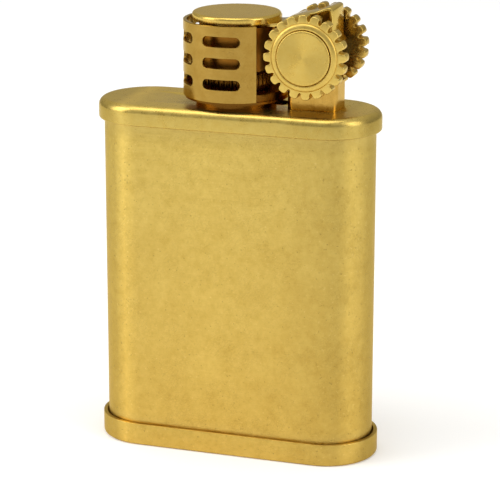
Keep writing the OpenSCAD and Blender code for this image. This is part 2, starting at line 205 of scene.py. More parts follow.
class Nodes:
    """Short way of writing a material's node tree."""

    def __init__(self, tree):
        self.tree = tree

    def add(self, kind, inputs=None, **settings):
        node = self.tree.nodes.new(kind)
        for key, value in settings.items():
            setattr(node, key, value)
        for key, value in (inputs or {}).items():
            self.put(node.inputs[key], value)
        return node

    def put(self, socket, value):
        if isinstance(value, bpy.types.NodeSocket):
            self.tree.links.new(value, socket)
        else:
            socket.default_value = value

    def math(self, operation, a, b=0.0):
        node = self.add("ShaderNodeMath", operation=operation)
        self.put(node.inputs[0], a)
        self.put(node.inputs[1], b)
        return node.outputs[0]

    def span(self, value, low, high, to_low=0.0, to_high=1.0):
        """Maps low..high to to_low..to_high, and stops at both ends."""
        node = self.add("ShaderNodeMapRange", clamp=True)
        for i, number in enumerate((value, low, high, to_low, to_high)):
            self.put(node.inputs[i], number)
        return node.outputs[0]

    def mix(self, factor, a, b):
        node = self.add("ShaderNodeMix", data_type="RGBA")
        self.put(node.inputs[0], factor)
        self.put(node.inputs[6], a)
        self.put(node.inputs[7], b)
        return node.outputs[2]

    def millimetres(self, stretch=(1, 1, 1), turn=(0, 0, 0)):
        """The piece's own coordinates in millimetres, turned and then stretched."""
        coordinates = self.add("ShaderNodeTexCoord").outputs["Object"]
        turned = self.add("ShaderNodeMapping", {"Vector": coordinates, "Rotation": turn})
        scale = [1000 * s for s in stretch]
        return self.add("ShaderNodeMapping", {"Vector": turned.outputs[0], "Scale": scale}).outputs[0]

    def noise(self, vector, scale, detail=2.0, roughness=0.5):
        inputs = {"Vector": vector, "Scale": scale, "Detail": detail, "Roughness": roughness}
        return self.add("ShaderNodeTexNoise", inputs).outputs[0]

    def bump(self, height, distance):
        inputs = {"Height": height, "Distance": distance, "Strength": 1.0}
        return self.add("ShaderNodeBump", inputs).outputs[0]


def new_material(name):
    """A material with a Principled shader, and its node helper."""
    material = bpy.data.materials.new(name)
    material.use_nodes = True
    nodes = Nodes(material.node_tree)
    shader = material.node_tree.nodes["Principled BSDF"]
    return material, nodes, shader


def shade(colour, factor):
    return tuple(min(1.0, c * factor) for c in colour[:3]) + (1.0,)


def scratches(nodes, turn, length, width, amount):
    """Thin straight marks along one direction: 0 to 1."""
    lines = nodes.noise(nodes.millimetres((1 / length, 1 / width, 1 / width), turn), 1.0, 1.0)
    patches = nodes.noise(nodes.millimetres(), 0.22, 2.0)
    thin = nodes.span(nodes.math("ABSOLUTE", nodes.math("SUBTRACT", lines, 0.5)), 0.0, 0.012, 1.0, 0.0)
    return nodes.math("MULTIPLY", thin, nodes.span(patches, 0.62 - amount, 0.72 - amount))


# Painted reflections along the case, bright and dark bands: place along X in millimetres, and the tone that
# multiplies the colour there
PAINTED_REFLECTIONS = [(-19.0, 0.82), (-16.2, 0.84), (-14.6, 1.17), (-12.5, 1.0), (-2.0, 1.04), (8.0, 0.99), (11.5, 0.92),
           (14.0, 0.90), (16.0, 0.84), (17.3, 0.99), (18.4, 0.96), (19.3, 0.74)]
PAINTED_REFLECTIONS_REACH = 20.0  # half of the length that the ramp covers, in millimetres
RAMP_SCALE = 0.8  # keeps the ramp's tones under 1
HUE_HEIGHTS = (5.0, 42.0)  # heights in millimetres: redder at the lower one, paler at the upper one


def paint_reflections_and_shade(n, colour, heights):
    """Paints light into a colour: reflections along the case, shade (and on the lid's top a sheen) between
    two heights, and a redder tone low down.

    heights is (low, high, tone at low, tone at high), in millimetres.
    """
    place = n.add("ShaderNodeSeparateXYZ", {"Vector": n.millimetres()})
    ramp = n.add("ShaderNodeValToRGB")
    stops = ramp.color_ramp.elements
    while len(stops) < len(PAINTED_REFLECTIONS):
        stops.new(1.0)
    for stop, (x, tone) in zip(stops, PAINTED_REFLECTIONS):
        stop.position = (x + PAINTED_REFLECTIONS_REACH) / (2 * PAINTED_REFLECTIONS_REACH)
        stop.color = shade((tone, tone, tone), RAMP_SCALE)
    n.put(ramp.inputs[0], n.span(place.outputs[0], -PAINTED_REFLECTIONS_REACH, PAINTED_REFLECTIONS_REACH))
    along = n.math("MULTIPLY", ramp.outputs[0], 1 / RAMP_SCALE)
    level = n.math("MULTIPLY", along, n.span(place.outputs[2], *heights))
    green = n.math("MULTIPLY", level, n.span(place.outputs[2], *HUE_HEIGHTS, 0.955, 1.03))
    blue = n.math("MULTIPLY", level, n.span(place.outputs[2], *HUE_HEIGHTS, 0.88, 1.08))
    tones = n.add("ShaderNodeCombineXYZ", {"X": level, "Y": green, "Z": blue}).outputs[0]
    return n.add("ShaderNodeVectorMath", {0: colour, 1: tones}, operation="MULTIPLY").outputs[0]


def brass(name, colour, roughness, grain, mottle=0.5, brushed=None, turned=False, scratch=0.1,
          speckle=0.5, wear=0.5, heights=None, tint=(1.0, 0.90, 0.62, 1.0)):
    """Brass with mottling, grain, dark pits, painted glints, scratches and edges worn bright.

    grain is the depth of the fine grain in millimetres. brushed is the stretch of straight brush marks.
    turned adds lathe marks round the wheels' axle. heights turns on painted reflections along the case
    and a painted shade between two heights. tint is the colour at grazing angles.
    """
    material, n, shader = new_material(name)
    plain = n.millimetres()
    cloud = n.noise(plain, 0.16, 4.0, 0.6)
    patch = n.noise(plain, 0.85, 4.0, 0.72)
    fine = n.noise(plain, 3.2, 3.0, 0.7)
    dots = n.noise(plain, 2.9, 1.0, 0.4)
    pits = n.span(dots, 0.70, 0.76)
    # painted glints: small bright, paler dots painted into the colour as highlights
    glints = n.span(dots, 0.26, 0.31, 1.0, 0.0)
    marks = n.math("MAXIMUM", scratches(n, (0.2, 0.9, 0.4), 14, 0.55, scratch),
                   scratches(n, (1.1, -0.6, 0.3), 9, 0.4, scratch))

    tone = n.math("ADD", n.math("MULTIPLY", cloud, 0.35), n.math("MULTIPLY", patch, 0.65))
    dark = shade((colour[0], colour[1] * 0.96, colour[2] * 0.86), 1 - 0.16 * mottle)
    light = shade((colour[0], colour[1] * 1.03, colour[2] * 1.12), 1 + 0.10 * mottle)
    body = n.mix(n.span(tone, 0.36, 0.64), dark, light)
    body = n.mix(n.span(fine, 0.34, 0.66, 0.0, 0.30 * speckle), body, shade(colour, 1.16))
    body = n.mix(n.math("MULTIPLY", pits, 0.40 * speckle), body, shade(colour, 0.5))
    # paints the glints in as small highlights
    glint_colour = shade((colour[0], colour[1] * 1.1, colour[2] * 1.6), 1.3)
    body = n.mix(n.math("MULTIPLY", glints, 0.30 * speckle), body, glint_colour)
    body = n.mix(n.math("MULTIPLY", marks, 0.35), body, shade(colour, 0.72))
    # painted reflections along the case and painted shade between two heights
    if heights:
        body = paint_reflections_and_shade(n, body, heights)
    edge = n.add("ShaderNodeAttribute", attribute_name="edge").outputs["Fac"]
    worn = n.math("MULTIPLY", n.span(edge, 0.04, 0.22), wear)
    bright = shade((colour[0] * 1.08, colour[1] * 1.14, colour[2] * 1.5), 1.08)
    n.put(shader.inputs["Base Color"], n.mix(n.math("MULTIPLY", worn, 0.6), body, bright))

    rough = n.span(patch, 0.3, 0.7, roughness * 0.88, roughness * 1.14)
    rough = n.math("ADD", rough, n.span(fine, 0.3, 0.7, -0.04, 0.05))
    rough = n.math("SUBTRACT", rough, n.math("MULTIPLY", worn, roughness * 0.45))
    n.put(shader.inputs["Roughness"], n.math("MAXIMUM", rough, 0.05))

    height = n.math("MULTIPLY", fine, grain)
    height = n.math("SUBTRACT", height, n.math("MULTIPLY", pits, grain * 1.5 * speckle))
    height = n.math("SUBTRACT", height, n.math("MULTIPLY", marks, grain * 0.8))
    if brushed:
        lines = n.noise(n.millimetres(brushed), 1.0, 3.0, 0.6)
        height = n.math("ADD", height, n.math("MULTIPLY", lines, grain * 1.2))
    if turned:
        rings = n.add("ShaderNodeTexNoise", {"Vector": lathe_marks(n), "Scale": 1.0, "Detail": 3.0})
        height = n.math("ADD", height, n.math("MULTIPLY", rings.outputs[0], grain * 1.6))
        n.put(shader.inputs["Anisotropic"], 0.9)
        tangent = n.add("ShaderNodeTangent", direction_type="RADIAL", axis="Y")
        n.put(shader.inputs["Tangent"], tangent.outputs[0])
    n.put(shader.inputs["Normal"], n.bump(height, MM))
    shader.inputs["Metallic"].default_value = 1.0
    shader.inputs["Specular Tint"].default_value = tint
    return material


def lathe_marks(n):
    """A coordinate that changes only with the distance from the wheels' axle."""
    position = n.add("ShaderNodeSeparateXYZ", {"Vector": n.millimetres()})
    squares = []
    for i, centre in ((0, AXLE.x / MM), (2, AXLE.z / MM)):
        offset = n.math("SUBTRACT", position.outputs[i], centre)
        squares.append(n.math("MULTIPLY", offset, offset))
    radius = n.math("SQRT", n.math("ADD", squares[0], squares[1]))
    marks_per_mm = 14.0
    return n.add("ShaderNodeCombineXYZ", {"X": n.math("MULTIPLY", radius, marks_per_mm)}).outputs[0]


def dull(name, colour, roughness, metallic, grain, scale=4.0, contrast=0.3):
    """Steel, flint, cotton, felt or leather: a mottled colour with a fine bump."""
    material, n, shader = new_material(name)
    plain = n.millimetres()
    cloud = n.noise(plain, scale * 0.2, 4.0, 0.6)
    fine = n.noise(plain, scale, 4.0, 0.7)
    body = n.mix(n.span(cloud, 0.3, 0.7), shade(colour, 1 - contrast), shade(colour, 1 + contrast * 0.6))
    body = n.mix(n.span(fine, 0.45, 0.75, 0.0, 0.5), body, shade(colour, 1 - contrast * 1.6))
    n.put(shader.inputs["Base Color"], body)
    n.put(shader.inputs["Roughness"], n.span(fine, 0.3, 0.7, roughness * 0.85, min(1.0, roughness * 1.15)))
    n.put(shader.inputs["Normal"], n.bump(fine, MM * grain))
    shader.inputs["Metallic"].default_value = metallic
    return material


GOLD = (0.60, 0.42, 0.098)
# a darker copy of the gold for the polished guard: painted dark reflections
GUARD_DARK_REFLECTION = (0.37, 0.225, 0.045)
# dark brown standing in for the shade under and inside the wind guard: painted shade
SHADE_BROWN = (0.31, 0.13, 0.016)
# a darker brown copy of the gold for the rear wheel's inner face: painted shade and dark reflection
REAR_WHEEL_SHADE = (0.47, 0.30, 0.062)
# a darker, browner brass for the wheel post
POST = (0.52, 0.31, 0.065)
RUSSET = (1.0, 0.55, 0.16, 1.0)  # the tint of aged brass at grazing angles
SHADE_UNDER_LID = (LID_LOW.z / MM - 2.6, LID_LOW.z / MM, 1.0, 0.80)  # painted shade: the case darkens under the lid
SKIRT_SHADE_TOP_SHEEN = (LID_HIGH.z / MM - 0.9, LID_HIGH.z / MM - 0.1, 0.86, 1.22)  # painted shade and painted sheen: the lid's skirt is darker than its top
FINISH = {
    "case": brass("satin_case", GOLD, 0.40, 0.020, mottle=0.95, brushed=(0.08, 3.0, 3.0), scratch=0.16,
                  speckle=1.2, heights=SHADE_UNDER_LID),
    "lid": brass("satin_lid", GOLD, 0.30, 0.004, mottle=0.5, brushed=(0.10, 2.5, 2.5), heights=SKIRT_SHADE_TOP_SHEEN),
    "guard": brass("polished_guard_dark_reflection", GUARD_DARK_REFLECTION, 0.20, 0.004, mottle=0.8, scratch=0.08, speckle=0.4),
    "polish": brass("polished_brass", GOLD, 0.15, 0.002, mottle=0.4, scratch=0.06, speckle=0.3),
    "cap": brass("satin_cap", shade(GOLD, 1.1), 0.26, 0.0012, mottle=0.4, scratch=0.05, speckle=0.1,
                 wear=1.0),
    "wheel": brass("filed_wheel", shade(GOLD, 1.05), 0.34, 0.006, mottle=0.7, scratch=0.05, speckle=0.4,
                   wear=0.8),
    "rear_wheel": brass("rear_wheel_painted_shade", REAR_WHEEL_SHADE, 0.26, 0.005, mottle=0.9, speckle=0.4, wear=1.0),
    "hub": brass("turned_hub", shade(GOLD, 0.98), 0.30, 0.002, mottle=0.3, turned=True, scratch=0.04,
                 speckle=0.2),
    # painted shade: the collar under the guard is darkened for the shade there; the knurl, burner tube and
    # rivet share this finish
    "collar": brass("turned_collar_painted_shade", shade(SHADE_BROWN, 0.42), 0.30, 0.003, mottle=0.7, speckle=0.3, tint=RUSSET),
    # painted shade: the cup seen through the slots is darkened for the shade inside the guard
    "inner": brass("cup_painted_shade", SHADE_BROWN, 0.34, 0.003, mottle=0.9, scratch=0.03, speckle=0.3, tint=RUSSET),
    "post": brass("darker_post", POST, 0.18, 0.003, mottle=1.2, scratch=0.05, speckle=0.5),
    "fitting": brass("turned_fitting", GOLD, 0.25, 0.003, mottle=0.5, scratch=0.04, speckle=0.3),
    "steel": dull("ground_steel", (0.50, 0.50, 0.51), 0.32, 1.0, 0.003),
    "file": dull("cut_steel", (0.20, 0.20, 0.21), 0.45, 1.0, 0.006),
    "flint": dull("flint", (0.22, 0.21, 0.20), 0.75, 0.3, 0.01),
    "cotton": dull("cotton", (0.80, 0.74, 0.62), 0.95, 0.0, 0.03, 7.0, 0.2),
    "felt": dull("felt", (0.50, 0.40, 0.28), 0.95, 0.0, 0.03, 5.0, 0.25),
    "leather": dull("leather", (0.20, 0.10, 0.05), 0.7, 0.0, 0.02, 3.0, 0.3),
}


def dress(obj, finish, body, slot, *nodes):
    """Finishes a new piece: its material, the body that it rides on and the CAD nodes that it stands for."""
    mark_edges(obj)
    obj.data.materials.clear()
    obj.data.materials.append(FINISH[finish])
    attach(obj, body)
    if nodes:
        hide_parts(*nodes)
    return obj


def repaint(node, finish, rounding=0.0):
    """Gives a CAD node its finish, and rounds its edges with a modifier."""
    obj = frame["nodes"][node]
    obj.data.materials.clear()
    obj.data.materials.append(FINISH[finish])
    if rounding:
        bevel(obj, rounding)
    return obj


# ---------------------------------------------------------------- case

def build_tube():
    """The case tube, a closed sheet wall."""
    radius = (TUBE_HIGH.y - TUBE_LOW.y) / 2
    straight = TUBE_HIGH.x - TUBE_LOW.x - 2 * radius
    wall = 0.6 * MM
    levels = 12
    rise = (TUBE_HIGH.z - TUBE_LOW.z) / levels
    outside = [(radius, TUBE_LOW.z + rise * i) for i in range(levels + 1)]
    inside = [(radius - wall, z) for _, z in reversed(outside)]
    tube = racetrack("case_tube", straight, outside + inside, loop=True)
    return dress(tube, "case", "case", "satin_brass", "body_tube")


def build_lid():
    """The lid: a flat plate, a full round edge and a skirt, with a small dent in its front edge."""
    radius = (LID_HIGH.y - LID_LOW.y) / 2
    straight = LID_HIGH.x - LID_LOW.x - 2 * radius
    top_round, foot_round = 1.05 * MM, 0.28 * MM
    skirt_wall, plate, lip = 0.70 * MM, 1.2 * MM, 0.15 * MM
    inner = radius - skirt_wall
    ceiling = LID_HIGH.z - plate
    profile = [(inner, ceiling), (inner, LID_LOW.z + lip)]
    profile += corner(radius - foot_round, LID_LOW.z + foot_round, foot_round, -95, 0)
    profile += corner(radius - top_round, LID_HIGH.z - top_round, top_round, 0, 90, 10)
    profile += [(radius - s * MM, LID_HIGH.z) for s in (1.6, 2.4, 3.4)]
    lid = racetrack("lid_shell", straight, profile, caps=True, sharp_angle=50)
    dent = Vector((7.3 * MM, -radius, LID_HIGH.z - 1.5 * MM))
    dent_reach, dent_depth = 1.3 * MM, 0.16 * MM
    for vert in lid.data.vertices:
        near = (vert.co - dent).length / dent_reach
        if near < 1 and vert.co.y < 0:
            vert.co.y += dent_depth * (1 - near * near) ** 2
    burner_hole, flint_hole = 2.0 * MM, 2.1 * MM
    cut_holes(lid, [(GUARD_X, burner_hole, ceiling - MM, LID_HIGH.z + MM),
                    (AXLE.x, flint_hole, ceiling - MM, LID_HIGH.z + MM)])
    return dress(lid, "lid", "case", "satin_brass", "top_lid")


def build_base():
    """The base cap: a shallow tray with a thin upper edge and holes for the two screws."""
    radius = (BASE_HIGH.y - BASE_LOW.y) / 2
    straight = BASE_HIGH.x - BASE_LOW.x - 2 * radius
    inner = (TUBE_HIGH.y - TUBE_LOW.y) / 2 + 0.10 * MM
    foot, lip, flat, plate = 0.45 * MM, 0.10 * MM, 3 * MM, 1 * MM
    profile = [(radius - flat, BASE_LOW.z)]
    profile += corner(radius - foot, BASE_LOW.z + foot, foot, -90, 0)
    profile += corner(radius - lip, BASE_HIGH.z - lip, lip, 0, 90, 4)
    profile += corner(inner + lip, BASE_HIGH.z - lip, lip, 90, 180, 4)
    profile += [(inner, BASE_LOW.z + plate), (inner - flat, BASE_LOW.z + plate)]
    base = racetrack("base_tray", straight, profile, caps=True)
    filler_x, filler_hole, flint_hole = -8 * MM, 4.8 * MM, 3.9 * MM
    cut_holes(base, [(filler_x, filler_hole, -MM, 2 * MM), (AXLE.x, flint_hole, -MM, 2 * MM)])
    return dress(base, "case", "case", "satin_brass", "base_cap")


# ---------------------------------------------------------------- wind guard and burner

SLOT_HEIGHT = 1.4 * MM
SLOT_WIDTH = 5.4 * MM
SLOT_PITCH = 2.9 * MM
SLOT_FIRST = 3.68 * MM
SLOT_COLUMNS = (89.3, 147.3, 212.7, 270.7)  # degrees round the guard from the wheels' side
SLOT_ROWS = 3
OPEN_HALF = 50  # half of the guard's open side, in degrees
CELL_HALF = 25  # half of the strip of sheet that each column of slots is cut in, in degrees


def obround(count_flat, count_round):
    """Points round a slot, anticlockwise from the left end of its lower side."""
    half, radius = (SLOT_WIDTH - SLOT_HEIGHT) / 2, SLOT_HEIGHT / 2
    points = [(-half + 2 * half * i / count_flat, -radius) for i in range(count_flat)]
    points += [(half + radius * math.cos(a), radius * math.sin(a))
               for a in (math.radians(-90 + 180 * i / count_round) for i in range(count_round))]
    points += [(half - 2 * half * i / count_flat, radius) for i in range(count_flat)]
    points += [(-half + radius * math.cos(a), radius * math.sin(a))
               for a in (math.radians(90 + 180 * i / count_round) for i in range(count_round))]
    return points


def rectangle(half_width, half_height, count_flat, count_round):
    """Points round a rectangle that match those of the slot inside it."""
    points = [(-half_width + 2 * half_width * i / count_flat, -half_height) for i in range(count_flat)]
    points += [(half_width, -half_height + 2 * half_height * i / count_round) for i in range(count_round)]
    points += [(half_width - 2 * half_width * i / count_flat, half_height) for i in range(count_flat)]
    points += [(-half_width, half_height - 2 * half_height * i / count_round) for i in range(count_round)]
    return points


def flat_sheet(bm, lines_x, lines_z):
    """A grid of quads between the given lines."""
    rows = [[bm.verts.new((x, 0, z)) for x in lines_x] for z in lines_z]
    for lower, upper in zip(rows, rows[1:]):
        for i in range(len(lines_x) - 1):
            bm.faces.new((lower[i], lower[i + 1], upper[i + 1], upper[i]))


def steps_between(low, high, count):
    return [low + (high - low) * i / count for i in range(count + 1)]


def build_guard():
    """The wind guard: a flat slotted sheet rolled into an open tube, with softened edges."""
    wall = 0.5 * MM
    flat_count, round_count, rings = 18, 10, 4
    reach = math.radians(CELL_HALF) * GUARD_RADIUS
    bm = bmesh.new()
    first = LID_TOP + SLOT_FIRST
    cells_low = first - SLOT_PITCH / 2
    cells_high = first + (SLOT_ROWS - 0.5) * SLOT_PITCH
    gaps = [(OPEN_HALF, SLOT_COLUMNS[0] - CELL_HALF)]
    gaps += [(a + CELL_HALF, b - CELL_HALF) for a, b in zip(SLOT_COLUMNS, SLOT_COLUMNS[1:])]
    gaps += [(SLOT_COLUMNS[-1] + CELL_HALF, 360 - OPEN_HALF)]
    arc = math.radians(1) * GUARD_RADIUS
    side_z = sorted({round(cells_low + SLOT_PITCH * (row + i / round_count), 9)
                     for row in range(SLOT_ROWS) for i in range(round_count + 1)})
    below = steps_between(GUARD_LOW.z, cells_low, 3)
    above = steps_between(cells_high, GUARD_HIGH.z, 3)
    for start, end in gaps:
        across = [a * arc for a in steps_between(start, end, max(2, round((end - start) / 3)))]
        flat_sheet(bm, across, below[:-1] + side_z + above[1:])
    for column in SLOT_COLUMNS:
        across = steps_between(column * arc - reach, column * arc + reach, flat_count)
        flat_sheet(bm, across, below)
        flat_sheet(bm, across, above)
        for row in range(SLOT_ROWS):
            middle = Vector((column * arc, 0, first + row * SLOT_PITCH))
            outer = rectangle(reach, SLOT_PITCH / 2, flat_count, round_count)
            inner = obround(flat_count, round_count)
            loops = []
            for k in range(rings + 1):
                t = 1 - (1 - k / rings) ** 1.3
                loops.append([middle + Vector((a[0] + (b[0] - a[0]) * t, 0, a[1] + (b[1] - a[1]) * t))
                              for a, b in zip(outer, inner)])
            skin(bm, loops)
    weld = 0.002 * MM
    bmesh.ops.remove_doubles(bm, verts=bm.verts, dist=weld)
    bmesh.ops.recalc_face_normals(bm, faces=bm.faces)
    bmesh.ops.solidify(bm, geom=bm.faces[:], thickness=wall)
    low_y = min(v.co.y for v in bm.verts)
    high_y = max(v.co.y for v in bm.verts)
    for vert in bm.verts:
        outward = (vert.co.y - low_y) / (high_y - low_y)
        radius = GUARD_RADIUS - wall + wall * outward
        angle = vert.co.x / GUARD_RADIUS
        vert.co = Vector((GUARD_X + radius * math.cos(angle), radius * math.sin(angle), vert.co.z))
    guard = new_object("guard_shell", bm)
    edge_round = 0.09 * MM
    bevel(guard, edge_round, 3, 50)
    apply_modifiers(guard)
    return dress(guard, "guard", "case", "polished_brass", "wind_guard")


def build_collar():
    """The turned collar under the wind guard: a flange, the ledge that the guard rests on and a spigot."""
    low, high = COLLAR_LOW.z, COLLAR_HIGH.z
    bore, flange, spigot = 2.0 * MM, 5.5 * MM, GUARD_RADIUS - 0.5 * MM
    step = GUARD_LOW.z
    ledge_width, ledge_height = 0.25 * MM, 0.3 * MM
    soft = 0.12 * MM
    profile = [(bore, low), (flange, low), (flange, step - ledge_height)]
    profile += [(spigot + ledge_width, step - ledge_height), (spigot + ledge_width, step), (spigot, step)]
    profile += corner(spigot - soft, high - soft, soft, 0, 90, 3)
    profile += [(bore, high)]
    collar = lathe("collar_ring", profile, (GUARD_X, 0), loop=True)
    return dress(collar, "collar", "case", "turned_brass", "guard_collar")


def build_knurl():
    """The burner's knurled foot."""
    radius = (KNURL_HIGH.x - KNURL_LOW.x) / 2
    low, high = KNURL_LOW.z, KNURL_HIGH.z
    ridges, per_ridge = 40, 8
    count = ridges * per_ridge
    depth, soft, bore, shoulder = 0.22 * MM, 0.25 * MM, 2.0 * MM, 0.9 * MM
    faded = 0.3  # share of the ridges' depth that is left at their ends

    def ring(inset, height, ridged):
        points = []
        for i in range(count):
            angle = 2 * math.pi * i / count
            wave = 0.5 - 0.5 * math.cos(2 * math.pi * (i % per_ridge) / per_ridge)
            reach = radius - inset - depth * wave * ridged
            points.append(Vector((GUARD_X + reach * math.cos(angle), reach * math.sin(angle), height)))
        return points

    bm = bmesh.new()
    rings = [circle_ring(bore, low, count, (GUARD_X, 0)), ring(soft, low, faded), ring(0, low + soft, 1),
             ring(0, high - soft, 1), ring(soft, high, faded), ring(shoulder, high, 0),
             circle_ring(bore, high, count, (GUARD_X, 0))]
    skin(bm, rings, loop=True)
    return dress(new_object("burner_knurl", bm, 40), "collar", "case", "turned_brass", "burner_base")


def build_burner():
    """The burner tube with a rounded rim."""
    outer, inner, soft = 2.0 * MM, 1.45 * MM, 0.2 * MM
    low, high = TUBE_BURNER_LOW.z, TUBE_BURNER_HIGH.z
    profile = [(inner, low), (outer, low)]
    profile += corner(outer - soft, high - soft, soft, 0, 90, 4)
    profile += corner(inner + soft, high - soft, soft, 90, 180, 4)
    tube = lathe("burner_pipe", profile, (GUARD_X, 0), 64, loop=True)
    return dress(tube, "collar", "case", "turned_brass", "burner_tube")


def build_wick():
    """A wick twisted from round cotton strands, with a frayed top."""
    strands, sides, pitch = 7, 8, 4.2 * MM
    core, thick = 0.88 * MM, 0.46 * MM
    frayed, top_gap = 1.2 * MM, 0.06 * MM
    low, high = WICK_LOW.z, WICK_HIGH.z - top_gap
    levels = 150
    bm = bmesh.new()
    for strand in range(strands):
        centred = strand == strands - 1
        start = 2 * math.pi * strand / (strands - 1)
        rings = []
        for level in range(levels + 1):
            z = low + (high - low) * level / levels
            angle = start + 2 * math.pi * (z - low) / pitch
            fray = max(0.0, (z - high + frayed) / frayed)
            lean = 0.0 if centred else core * (1 - 0.10 * fray)
            fat = thick * (1 - 0.55 * fray ** 3)
            middle = Vector((GUARD_X + lean * math.cos(angle), lean * math.sin(angle), z))
            rings.append([middle + Vector((fat * math.cos(a), fat * math.sin(a), 0))
                          for a in (2 * math.pi * i / sides for i in range(sides))])
        skin(bm, rings, caps=True)
    return dress(new_object("wick_twist", bm, 60), "cotton", "case", "cotton", "wick")


# ---------------------------------------------------------------- thumb wheels

TEETH = 20
PER_TOOTH = 20


def tooth_outline(root, tip):
    """One pitch of the gear's outline: a rounded tooth and half of a round gap on each side.

    Each point is (turn from the tooth's middle, radius).
    """
    pitch = 2 * math.pi / TEETH
    half_root, half_tip = 0.62 * MM, 0.53 * MM
    tip_round, gap_round = 0.16 * MM, 0.14 * MM
    flank_depth = tip - root - tip_round - gap_round
    points = []
    flank_start, flank_end = 0.36, 0.66
    for i in range(PER_TOOTH):
        t = -0.5 + i / PER_TOOTH
        place = abs(t) * 2
        if place < flank_start:
            radius = tip - tip_round * (place / flank_start) ** 3.4
        elif place < flank_end:
            share = (place - flank_start) / (flank_end - flank_start)
            radius = tip - tip_round - flank_depth * share
        else:
            share = (place - flank_end) / (1 - flank_end)
            radius = root + gap_round * math.cos(share * math.pi / 2) ** 1.5
        width = half_tip + (half_root - half_tip) * min(1.0, (tip - radius) / (tip - root))
        if place <= flank_end:
            turn = math.copysign(width * min(1.0, place / flank_start) ** 0.9, t) / radius
        else:
            share = (place - flank_end) / (1 - flank_end)
            turn = math.copysign(half_root / root + (pitch / 2 - half_root / root) * share, t)
        points.append((turn, radius))
    return points


def build_wheel(name, side, node, phase, finish):
    """A thumb wheel: rounded teeth, a convex ring and a recess for the hub disc. phase is in degrees."""
    tooth_depth, tooth_width = 0.90 * MM, 1.8 * MM
    tip = (WHEEL_HIGH.z - WHEEL_LOW.z) / 2
    root = tip - tooth_depth
    inner_face = -WHEEL_HIGH.y
    outer_face = inner_face + tooth_width
    ring_face = -WHEEL_LOW.y
    pitch = 2 * math.pi / TEETH
    start = math.radians(phase)
    outline = [(start + k * pitch + turn, radius)
               for k in range(TEETH) for turn, radius in tooth_outline(root, tip)]

    def teeth(inset, height):
        return [Vector(((r - inset) * math.cos(a), (r - inset) * math.sin(a), height)) for a, r in outline]

    def plain(radius, height):
        return [Vector((radius * math.cos(a), radius * math.sin(a), height)) for a, _ in outline]

    soft, bore, recess = 0.16 * MM, 0.8 * MM, 3.74 * MM
    web_inset, crown_inset, chamfer, recess_edge = 0.35 * MM, 0.22 * MM, 0.04 * MM, 0.12 * MM
    turns = (math.pi / 6, math.pi / 3, math.pi / 2)
    rings = [plain(bore, inner_face), plain(root - web_inset, inner_face), teeth(soft, inner_face)]
    rings += [teeth(soft * (1 - math.sin(a)), inner_face + soft * (1 - math.cos(a))) for a in turns]
    rings += [teeth(soft * (1 - math.cos(a)), outer_face - soft * (1 - math.sin(a))) for a in (0, *turns)]
    crown = root - crown_inset
    rings += [plain(crown, outer_face)]
    bulge = 7
    for i in range(1, bulge + 1):
        a = math.pi / 2 * i / bulge
        reach = crown - (crown - recess - recess_edge) * (1 - math.cos(a))
        rings.append(plain(reach, outer_face + (ring_face - outer_face) * math.sin(a)))
    rings += [plain(recess + chamfer, ring_face - chamfer), plain(recess, ring_face - recess_edge)]
    rings += [plain(recess, outer_face), plain(bore, outer_face)]
    bm = bmesh.new()
    skin(bm, rings, loop=True)
    wheel = to_axle(new_object(name, bm, 40), side)
    return dress(wheel, finish, "wheels", "wheel_brass", node)


def build_hub(name, side):
    """The smooth turned disc in a thumb wheel's face."""
    radius = (HUB_HIGH.x - HUB_LOW.x) / 2
    face = HUB_HIGH.y
    thickness, chamfer, soft = 0.65 * MM, 0.05 * MM, 0.22 * MM
    seat = face - thickness
    profile = [(TINY, seat), (radius - chamfer, seat), (radius, seat + chamfer)]
    profile += corner(radius - soft, face - soft, soft, 0, 90, 5)
    profile += [(radius * s, face) for s in (0.9, 0.75, 0.6, 0.45, 0.3, 0.15)]
    profile += [(TINY, face)]
    hub = lathe(name, profile, (0, 0), 96, caps=True)
    return dress(to_axle(hub, side), "hub", "wheels", "turned_brass", "hub_discs")


def build_file_wheel():
    """The steel wheel with its cut teeth."""
    radius = (FILE_HIGH.x - FILE_LOW.x) / 2
    half = (FILE_HIGH.y - FILE_LOW.y) / 2
    teeth, per_tooth = 36, 6
    count = teeth * per_tooth
    depth, bore = 0.26 * MM, 0.8 * MM

    def ring(height, inset, cut):
        points = []
        for i in range(count):
            angle = 2 * math.pi * i / count
            saw = (i % per_tooth) / (per_tooth - 1)
            reach = radius - inset - depth * saw * cut
            points.append(Vector((reach * math.cos(angle), reach * math.sin(angle), height)))
        return points

    soft = 0.15 * MM
    bm = bmesh.new()
    land = 0.2 * MM
    inner = depth + soft + land
    rings = [circle_ring(bore, -half, count, (0, 0)), ring(-half, inner, 0)]
    rings += [ring(-half, soft, 1), ring(-half + soft, 0, 1)]
    rings += [ring(-half + (2 * half) * t, 0, 1) for t in (0.3, 0.5, 0.7)]
    rings += [ring(half - soft, 0, 1), ring(half, soft, 1)]
    rings += [ring(half, inner, 0), circle_ring(bore, half, count, (0, 0))]
    skin(bm, rings, loop=True)
    wheel = to_axle(new_object("file_disc", bm, 25), -1)
    return dress(wheel, "file", "wheels", "file_steel", "file_wheel")


# ---------------------------------------------------------------- snuffer

ARM_POINTS = [  # the arm's top face: distance along the case, and height above the lid, in millimetres
    (-2.4, 11.45), (6.0, 11.45), (6.9, 12.0), (8.4, 12.7), (10.2, 13.15), (11.4, 13.35), (12.4, 13.8),
    (13.2, 14.1), (13.7, 14.05), (13.95, 13.75), (13.95, 10.0), (14.15, 9.6), (14.5, 9.2),
]


def smooth_line(points, passes=2):
    """Cuts the corners of a line of points."""
    for _ in range(passes):
        cut = [points[0]]
        for a, b in zip(points, points[1:]):
            cut += [a.lerp(b, 0.25), a.lerp(b, 0.75)]
        points = cut + [points[-1]]
    return points


